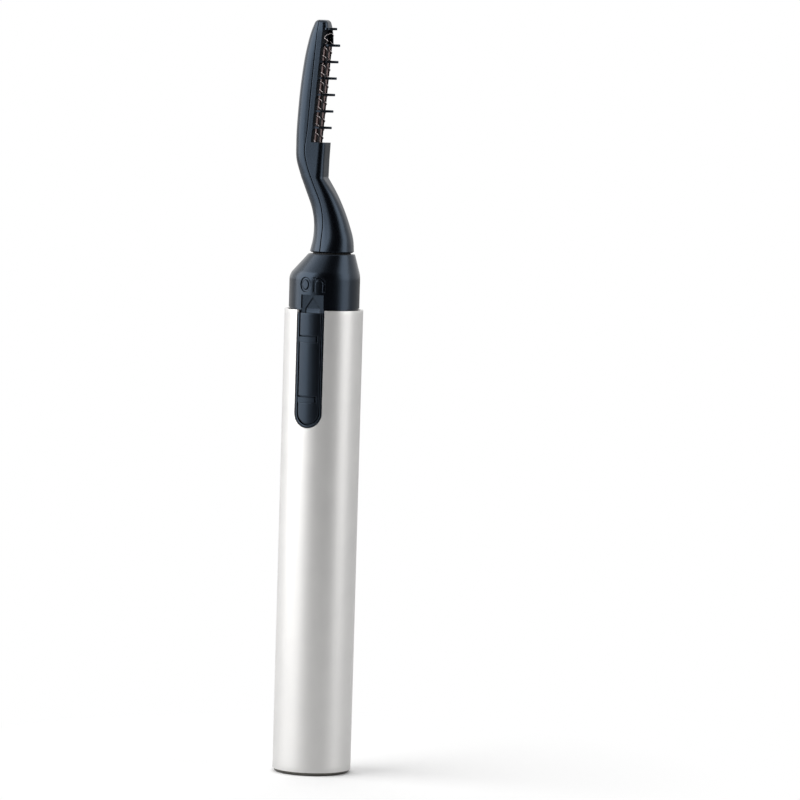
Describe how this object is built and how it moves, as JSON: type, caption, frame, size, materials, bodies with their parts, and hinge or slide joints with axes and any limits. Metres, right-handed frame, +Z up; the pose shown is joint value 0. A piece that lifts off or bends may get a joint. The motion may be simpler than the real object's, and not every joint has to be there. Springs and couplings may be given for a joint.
{
  "type": "eyelash curler",
  "caption": "Slim battery-heated eyelash curler: cylindrical pull-off barrel, thumb slide switch, off-axis neck and a toothed comb head with open heater coils.",
  "frame": {"origin": "middle of the flat base, on the barrel's axis", "axes": "+Z up the pen towards the comb; +X the way the comb's teeth point; -Y the side with the slide switch"},
  "size_m": [0.015, 0.015, 0.1439],
  "materials": {
    "silver_lacquer": "satin pearl lacquer",
    "turned_aluminium": "turned and polished",
    "black_moulding": "satin moulded",
    "head_moulding": "satin moulded, heat resistant",
    "slider_moulding": "fine textured",
    "spring_bronze": "rolled strip",
    "nickel_strip": "nickel plated",
    "cell_jacket": "plain sleeve",
    "lead_red": "insulation",
    "lead_black": "insulation",
    "heater_wire": "oxidised resistance wire",
    "heater_core": "dark glazed rod"
  },
  "bodies": {
    "barrel": {"barrel_tube": "silver_lacquer", "barrel_end_cap": "turned_aluminium"},
    "head_unit": {"chassis": "black_moulding", "collar": "black_moulding", "switch_frame": "black_moulding", "neck_insert": "black_moulding", "head_back_shell": "head_moulding", "head_front_shell": "head_moulding", "feed_contact": "spring_bronze", "load_contact": "spring_bronze", "positive_contact": "nickel_strip", "negative_contact": "nickel_strip", "negative_strap": "nickel_strip", "battery_spring": "nickel_strip", "battery_can": "cell_jacket", "battery_button": "nickel_strip", "feed_lead": "lead_red", "live_lead": "lead_red", "return_lead": "lead_black", "heater_coil": "heater_wire", "heater_cores": "heater_core", "heater_terminals": "nickel_strip"},
    "switch": {"switch_slider": "slider_moulding", "switch_wiper": "spring_bronze"}
  },
  "joints": [
    {"name": "barrel_pull", "type": "slide", "parent": "barrel", "child": "head_unit", "axis": [0, 0, 1], "range_m": [0, 0.09]},
    {"name": "switch_slide", "type": "slide", "parent": "head_unit", "child": "switch", "axis": [0, 0, 1], "range_m": [0, 0.0033]}
  ]
}
